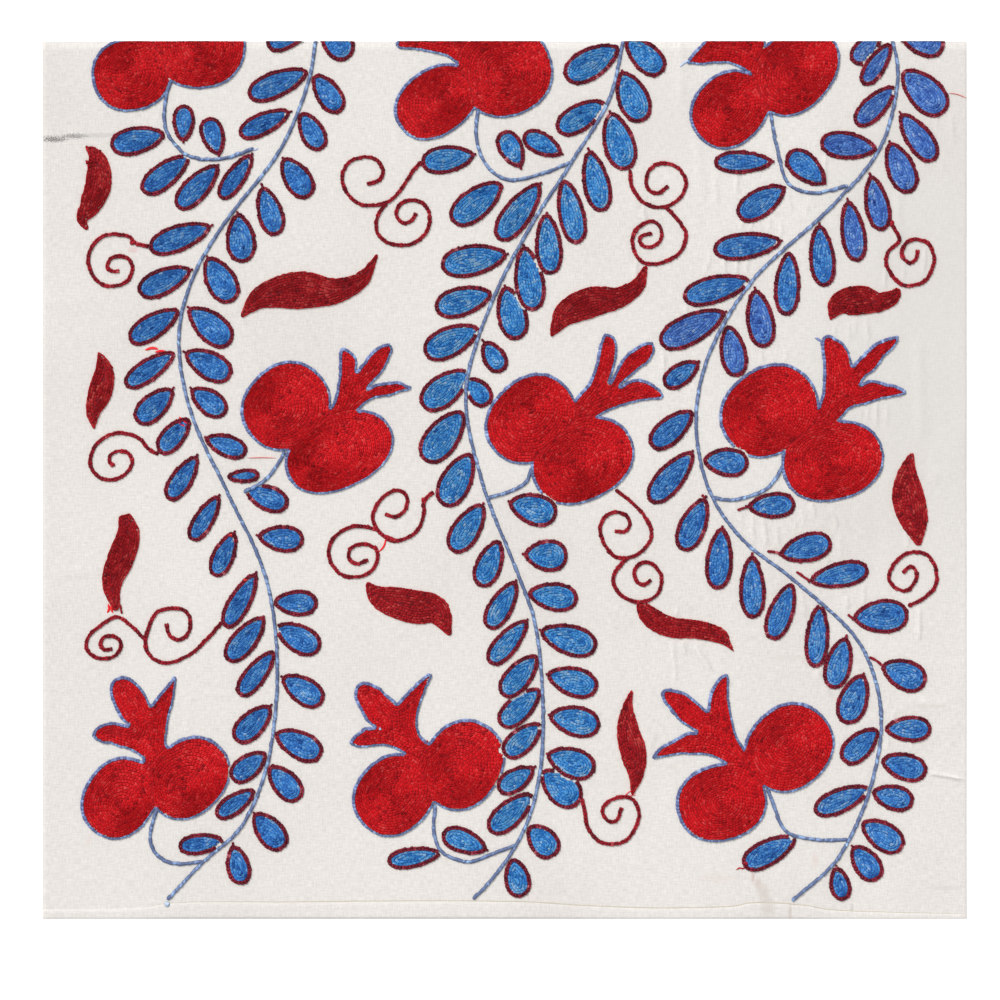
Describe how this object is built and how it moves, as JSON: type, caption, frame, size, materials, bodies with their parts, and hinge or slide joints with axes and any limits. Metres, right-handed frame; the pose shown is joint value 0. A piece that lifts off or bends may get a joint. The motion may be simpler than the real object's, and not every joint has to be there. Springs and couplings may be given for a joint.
{
  "type": "suzani embroidered textile",
  "caption": "Flat cotton panel with chain-stitched pomegranates, leafy vines, curved leaves and curling tendrils, and a turned hem along one edge.",
  "frame": {"origin": "middle of the cloth's underside", "axes": "+X along the hem to the right, +Y up the vines away from the hem, +Z out of the worked face"},
  "size_m": [0.4626, 0.439, 0.0023],
  "materials": {
    "ground_cotton": "matt plain-weave cotton, off-white",
    "blue_thread": "chain-stitched cotton thread, soft sheen, mid blue with darker rows",
    "red_thread": "chain-stitched cotton thread, soft sheen, warm red",
    "maroon_thread": "chain-stitched cotton thread, soft sheen, dark maroon"
  },
  "bodies": {
    "root": {"ground_cloth": "ground_cotton", "vine_left": "blue_thread", "vine_middle": "blue_thread", "vine_right": "blue_thread", "branch_top_left": "blue_thread", "branch_middle_left": "blue_thread", "top_leaf_1": "blue_thread", "top_leaf_2": "blue_thread", "top_leaf_3": "blue_thread", "top_leaf_4": "blue_thread", "pomegranate_top_left": "red_thread", "pomegranate_top_middle": "red_thread", "pomegranate_top_right": "red_thread", "pomegranate_middle_left": "red_thread", "pomegranate_middle": "red_thread", "pomegranate_middle_right": "red_thread", "pomegranate_bottom_left": "red_thread", "pomegranate_bottom_middle": "red_thread", "pomegranate_bottom_right": "red_thread", "curved_leaf_1": "maroon_thread", "curved_leaf_2": "maroon_thread", "curved_leaf_3": "maroon_thread", "curved_leaf_4": "maroon_thread", "curved_leaf_5": "maroon_thread", "curved_leaf_6": "maroon_thread", "curved_leaf_7": "maroon_thread", "curved_leaf_8": "maroon_thread", "curved_leaf_9": "maroon_thread", "curved_leaf_10": "maroon_thread", "tendril_1": "maroon_thread", "tendril_2": "maroon_thread", "tendril_3": "maroon_thread", "tendril_4": "maroon_thread", "tendril_5": "maroon_thread", "tendril_6": "maroon_thread", "tendril_7": "maroon_thread", "tendril_8": "maroon_thread", "tendril_9": "maroon_thread", "tendril_10": "maroon_thread"}
  },
  "joints": []
}
